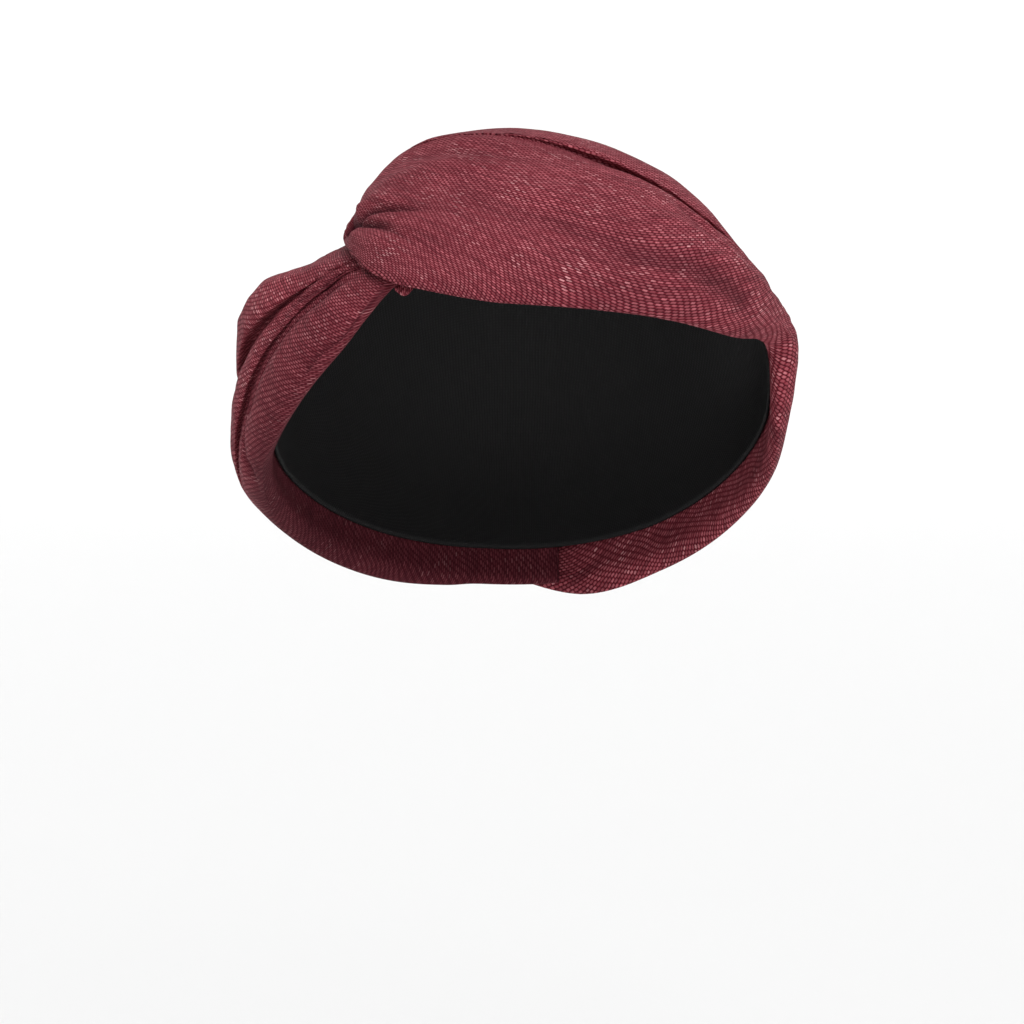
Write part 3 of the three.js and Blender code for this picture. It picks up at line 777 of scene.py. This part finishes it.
# How the yarns lie on each piece of the cloth, as weave_counts() tells, and how far across
# the cloth, in metres, their line of bending leans
FRONT_LAY = {
    "turn": 0, "slope": -0.12, "bend": 0.6, "reach": 0.035, "start": -0.08, "lean": 0.6,
}
SIDE_LAY = {"turn": 78, "slope": 0.1, "bend": 0.3, "reach": 0.1, "start": 0, "lean": 0}
CROWN_LAY = {"turn": 30, "slope": 0, "bend": 0.4, "reach": 0.1, "start": 0, "lean": 0}
LEAN_END = 0.012

# Black lining: its colours between and on the ribs, the ribs' pitch in metres, how far they
# wander in ribs, and how much the stitches break them up
LINING_DARK = (0.0012, 0.0012, 0.0014, 1)
LINING_PALE = (0.0056, 0.0056, 0.0062, 1)
RIB_PITCH = 0.0012
RIB_SWAY = 2
RIB_SWAY_SCALE = 40
STITCH_SHARE = 0.5


def shader_tree(name):
    material = bpy.data.materials.new(name)
    material.use_nodes = True
    tree = material.node_tree
    tree.nodes.clear()
    output = tree.nodes.new("ShaderNodeOutputMaterial")
    shader = tree.nodes.new("ShaderNodeBsdfPrincipled")
    tree.links.new(shader.outputs["BSDF"], output.inputs["Surface"])
    return material, tree, shader


def feed(tree, socket, value):
    """Links the value in where it comes from a node, and otherwise sets it."""
    if hasattr(value, "is_linked"):
        tree.links.new(value, socket)
    else:
        socket.default_value = value


def math_node(tree, operation, *values):
    node = tree.nodes.new("ShaderNodeMath")
    node.operation = operation
    for socket, value in zip(node.inputs, values):
        feed(tree, socket, value)
    return node.outputs[0]


def product(tree, first, *others):
    """All the values multiplied, from the first on."""
    for other in others:
        first = math_node(tree, "MULTIPLY", first, other)
    return first


def noise_node(tree, vector, scale, detail):
    node = tree.nodes.new("ShaderNodeTexNoise")
    tree.links.new(vector, node.inputs["Vector"])
    node.inputs["Scale"].default_value = scale
    node.inputs["Detail"].default_value = detail
    return node.outputs["Fac"]


def ramp_node(tree, value, low, high):
    """The value's place between low and high, 0 to 1, with soft ends."""
    node = tree.nodes.new("ShaderNodeMapRange")
    node.interpolation_type = "SMOOTHSTEP"
    tree.links.new(value, node.inputs["Value"])
    node.inputs["From Min"].default_value = low
    node.inputs["From Max"].default_value = high
    return node.outputs["Result"]


def mix_colours(tree, factor, first, second):
    node = tree.nodes.new("ShaderNodeMix")
    node.data_type = "RGBA"
    tree.links.new(factor, node.inputs["Factor"])
    feed(tree, node.inputs["A"], first)
    feed(tree, node.inputs["B"], second)
    return node.outputs["Result"]


def add_bump(tree, shader, height):
    bump = tree.nodes.new("ShaderNodeBump")
    bump.inputs["Strength"].default_value = BUMP_STRENGTH
    bump.inputs["Distance"].default_value = BUMP_HEIGHT
    tree.links.new(height, bump.inputs["Height"])
    tree.links.new(bump.outputs["Normal"], shader.inputs["Normal"])


def cloth_spot(tree):
    """The cloth's own coordinates in metres: the vector, the length along and across."""
    uv = tree.nodes.new("ShaderNodeUVMap")
    uv.uv_map = "cloth"
    split = tree.nodes.new("ShaderNodeSeparateXYZ")
    tree.links.new(uv.outputs["UV"], split.inputs["Vector"])
    return uv.outputs["UV"], split.outputs["X"], split.outputs["Y"]


def vector_node(tree, x, y):
    node = tree.nodes.new("ShaderNodeCombineXYZ")
    tree.links.new(x, node.inputs["X"])
    tree.links.new(y, node.inputs["Y"])
    return node.outputs["Vector"]


def weave_counts(tree, lay):
    """The cloth's vector, the count of yarns across the twill, its whole part, and the count
    of floats along the yarn.

    The lay says how the yarns run. They are turned by turn degrees. They climb by slope
    where the length along the cloth is start, and bend by up to bend within about reach
    of it. The line where they bend leans back across the cloth by lean, up to LEAN_END."""
    uv, u, v = cloth_spot(tree)
    cos, sin = math.cos(math.radians(lay["turn"])), math.sin(math.radians(lay["turn"]))
    sway = math_node(tree, "SUBTRACT", noise_node(tree, uv, SWAY_SCALE, 1), 0.5)
    drift = math_node(tree, "SUBTRACT", noise_node(tree, uv, DRIFT_SCALE, 0), 0.5)
    jitter = math_node(tree, "SUBTRACT", noise_node(tree, uv, JITTER_SCALE, 1), 0.5)
    turned = math_node(tree, "MULTIPLY_ADD", v, sin, math_node(tree, "MULTIPLY", u, cos))
    along = math_node(tree, "SUBTRACT", turned, lay["start"])
    across = math_node(tree, "MULTIPLY_ADD", u, -sin, math_node(tree, "MULTIPLY", v, cos))
    forward = math_node(tree, "MINIMUM", across, LEAN_END)
    leaned = math_node(tree, "MULTIPLY_ADD", forward, lay["lean"], along)
    share = math_node(tree, "MULTIPLY", leaned, 1 / lay["reach"])
    bent = math_node(tree, "TANH", share)
    slope = math_node(tree, "MULTIPLY_ADD", bent, lay["bend"], lay["slope"])
    arc = math_node(tree, "LOGARITHM", math_node(tree, "COSH", share), math.e)
    climb = math_node(tree, "MULTIPLY", arc, lay["bend"] * lay["reach"])
    climb = math_node(tree, "MULTIPLY_ADD", along, lay["slope"], climb)
    x = math_node(tree, "MULTIPLY", math_node(tree, "SUBTRACT", across, climb), 1 / YARN_PITCH)
    x = math_node(tree, "MULTIPLY_ADD", sway, SWAY, x)
    x = math_node(tree, "MULTIPLY_ADD", drift, DRIFT, x)
    x = math_node(tree, "MULTIPLY_ADD", jitter, JITTER, x)
    row = math_node(tree, "FLOOR", x)
    lean = math_node(tree, "MULTIPLY", slope, FLOAT_LEAN)
    y = math_node(tree, "MULTIPLY_ADD", lean, across, along)
    y = math_node(tree, "MULTIPLY", y, 1 / FLOAT_PITCH)
    y = math_node(tree, "MULTIPLY_ADD", sway, SWAY, y)
    y = math_node(tree, "MULTIPLY_ADD", row, FLOAT_STEP, y)
    return uv, x, row, y


def hump(tree, count):
    """0 between two threads and 1 on the middle of one."""
    wave = math_node(tree, "COSINE", math_node(tree, "MULTIPLY", count, 2 * math.pi))
    return math_node(tree, "MULTIPLY_ADD", wave, -0.5, 0.5)


def wrap_cloth(name, lay):
    """Open twill: paler yarns float over dark gaps in short dashes, each a step on."""
    material, tree, shader = shader_tree(name)
    uv, x, row, y = weave_counts(tree, lay)
    yarn = ramp_node(tree, hump(tree, x), *YARN_EDGE)
    over = ramp_node(tree, hump(tree, y), *FLOAT_EDGE)
    lie = product(tree, yarn, over)
    chance = tree.nodes.new("ShaderNodeTexWhiteNoise")
    chance.noise_dimensions = "2D"
    tree.links.new(vector_node(tree, row, math_node(tree, "FLOOR", y)), chance.inputs["Vector"])
    luck = chance.outputs["Value"]
    run = vector_node(tree, row, product(tree, y, STREAK_ALONG))
    streak = noise_node(tree, run, STREAK_SCALE, 2)
    fuzz = noise_node(tree, uv, FUZZ_SCALE, 2)
    tone = noise_node(tree, uv, TONE_SCALE, 3)

    between = math_node(tree, "SUBTRACT", 1, yarn)
    open_share = math_node(tree, "MULTIPLY_ADD", over, -GAP_CLOSED, 1)
    gap_fuzz = math_node(tree, "MULTIPLY_ADD", fuzz, *GAP_FUZZ)
    open_gap = product(tree, between, open_share, gap_fuzz)
    colour = mix_colours(tree, open_gap, YARN, GAP)

    pale = math_node(tree, "MULTIPLY_ADD", luck, *FLOAT_CHANCE)
    float_fuzz = math_node(tree, "MULTIPLY_ADD", fuzz, *FLOAT_FUZZ)
    cover = product(tree, lie, pale, float_fuzz)
    colour = mix_colours(tree, cover, colour, FLOAT)

    # Painted highlight: glints on a few floats, in patches
    lucky = ramp_node(tree, luck, *GLINT_CHANCE)
    patch = ramp_node(tree, noise_node(tree, uv, PATCH_SCALE, 2), *GLINT_PATCH)
    core = ramp_node(tree, lie, *GLINT_CORE)
    glint = product(tree, lucky, patch, core, GLINT_SHARE)
    colour = mix_colours(tree, glint, colour, GLINT)

    for noise, dark in ((streak, STREAK_DARK), (tone, TONE_DARK)):
        shaded = product(tree, ramp_node(tree, noise, *SHADE_RANGE), dark)
        colour = mix_colours(tree, shaded, colour, GAP)
    # Painted shade: darker in the creases and on low cloth near the lining, from the crease attribute
    crease = tree.nodes.new("ShaderNodeAttribute")
    crease.attribute_name = "crease"
    painted_shade_mix = product(tree, crease.outputs["Fac"], PAINTED_SHADE_DARK)
    colour = mix_colours(tree, painted_shade_mix, colour, GAP)
    tree.links.new(colour, shader.inputs["Base Color"])

    height = product(tree, fuzz, FUZZ_RISE)
    height = math_node(tree, "MULTIPLY_ADD", lie, FLOAT_RISE, height)
    height = math_node(tree, "MULTIPLY_ADD", yarn, YARN_RISE, height)
    add_bump(tree, shader, height)
    shader.inputs["Roughness"].default_value = 0.75
    shader.inputs["Specular IOR Level"].default_value = 0.08
    shader.inputs["Sheen Weight"].default_value = 0.02
    shader.inputs["Sheen Tint"].default_value = (0.8, 0.3, 0.35, 1)
    return material


def lining_cloth():
    """Matte black cloth with fine ribs."""
    material, tree, shader = shader_tree("lining_cloth")
    uv, u, v = cloth_spot(tree)
    sway = product(tree, noise_node(tree, uv, RIB_SWAY_SCALE, 1), RIB_SWAY)
    rib = hump(tree, math_node(tree, "MULTIPLY_ADD", u, 1 / RIB_PITCH, sway))
    stitch = hump(tree, math_node(tree, "MULTIPLY_ADD", v, 1 / RIB_PITCH, sway))
    broken = math_node(tree, "MULTIPLY_ADD", stitch, STITCH_SHARE, 1 - STITCH_SHARE)
    knit = product(tree, rib, broken)
    colour = mix_colours(tree, knit, LINING_DARK, LINING_PALE)
    tree.links.new(colour, shader.inputs["Base Color"])
    add_bump(tree, shader, knit)
    shader.inputs["Roughness"].default_value = 0.7
    shader.inputs["Specular IOR Level"].default_value = 0.3
    return material


def finish_piece(piece, node, material):
    """Gives the piece its material, sets it on the one body, and hides the CAD part it stands for."""
    piece.data.materials.append(material)
    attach(piece, "root")
    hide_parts(node)
    return piece


front_cloth = wrap_cloth("front_cloth", FRONT_LAY)
side_cloth = wrap_cloth("side_cloth", SIDE_LAY)
crown_cloth = wrap_cloth("crown_cloth", CROWN_LAY)

front = finish_piece(make_front(), "front_drape", front_cloth)
side = finish_piece(make_side(), "side_drape", side_cloth)
crown = finish_piece(make_crown(), "crown_drape", crown_cloth)
tail = finish_piece(make_tail(), "knot_tail", side_cloth)
lining = finish_piece(make_lining(), "lining_cap", lining_cloth())


# Studio, in metres: the floor's level, where it starts to curve up at the sides and behind,
# the curve's radius, and the top of the wall behind
FLOOR_LEVEL = -0.62
SIDE_START = 11
SWEEP_START = 2.5
SWEEP_RADIUS = 3
SWEEP_TOP = 9
SWEEP_STEPS = 24
FLOOR_COLOUR = (0.8, 0.8, 0.8, 1)

# The one soft sun: where it stands, its breadth in degrees and its power
KEY_SPOT = (0.25, -0.75, 1.0)
KEY_BREADTH = 50
KEY_POWER = 2.6
ROOM_LIGHT = 0.4

# The photograph's camera: metres, degrees below level, and millimetres of lens and sensor
CAMERA_SPOT = (-0.0025, -0.8901, 0.0449)
CAMERA_PITCH = 10
CAMERA_LENS = 89.1
CAMERA_SENSOR = 36
CAMERA_NEAR = 0.05


def make_floor():
    """A pale floor that curves up into a high wall behind and low walls all round."""
    turn = np.radians(np.linspace(0, 90, SWEEP_STEPS))
    out = SWEEP_RADIUS * np.sin(turn)
    rise = SWEEP_RADIUS * (1 - np.cos(turn))
    side = SIDE_START + out
    x = np.concatenate((-side[::-1], side))
    x_rise = np.concatenate((rise[::-1], rise))
    y = np.concatenate((-side[::-1], SWEEP_START + out, [SWEEP_START + SWEEP_RADIUS]))
    y_rise = np.concatenate((rise[::-1], rise, [SWEEP_TOP]))
    corners = [
        (x[i], y[j], max(x_rise[i], y_rise[j]) + FLOOR_LEVEL)
        for i in range(len(x))
        for j in range(len(y))
    ]
    index = np.arange(len(corners)).reshape(len(x), len(y))
    faces = np.stack((index[:-1, :-1], index[1:, :-1], index[1:, 1:], index[:-1, 1:]), -1)
    faces = faces.reshape(-1, 4).tolist()
    mesh = bpy.data.meshes.new("studio_floor")
    mesh.from_pydata(corners, [], faces)
    mesh.polygons.foreach_set("use_smooth", [True] * len(faces))
    floor = bpy.data.objects.new("studio_floor", mesh)
    bpy.context.scene.collection.objects.link(floor)
    material, _, shader = shader_tree("studio_floor")
    shader.inputs["Base Color"].default_value = FLOOR_COLOUR
    shader.inputs["Roughness"].default_value = 0.9
    shader.inputs["Specular IOR Level"].default_value = 0.1
    mesh.materials.append(material)


def add_sun():
    light = bpy.data.lights.new("key", "SUN")
    light.angle = math.radians(KEY_BREADTH)
    light.energy = KEY_POWER
    lamp = bpy.data.objects.new("key", light)
    lamp.rotation_euler = (-Vector(KEY_SPOT)).to_track_quat("-Z", "Y").to_euler()
    bpy.context.scene.collection.objects.link(lamp)


def add_camera():
    camera = bpy.data.cameras.new("camera")
    camera.sensor_width = CAMERA_SENSOR
    camera.lens = CAMERA_LENS
    camera.clip_start = CAMERA_NEAR
    holder = bpy.data.objects.new("camera", camera)
    holder.location = CAMERA_SPOT
    holder.rotation_euler = (math.radians(90 - CAMERA_PITCH), 0, 0)
    bpy.context.scene.collection.objects.link(holder)
    bpy.context.scene.camera = holder


def set_world():
    world = bpy.data.worlds.new("studio")
    world.use_nodes = True
    background = world.node_tree.nodes["Background"]
    background.inputs["Color"].default_value = (1, 1, 1, 1)
    background.inputs["Strength"].default_value = ROOM_LIGHT
    bpy.context.scene.world = world


make_floor()
add_sun()
add_camera()
set_world()
bpy.context.scene.view_settings.view_transform = "Standard"
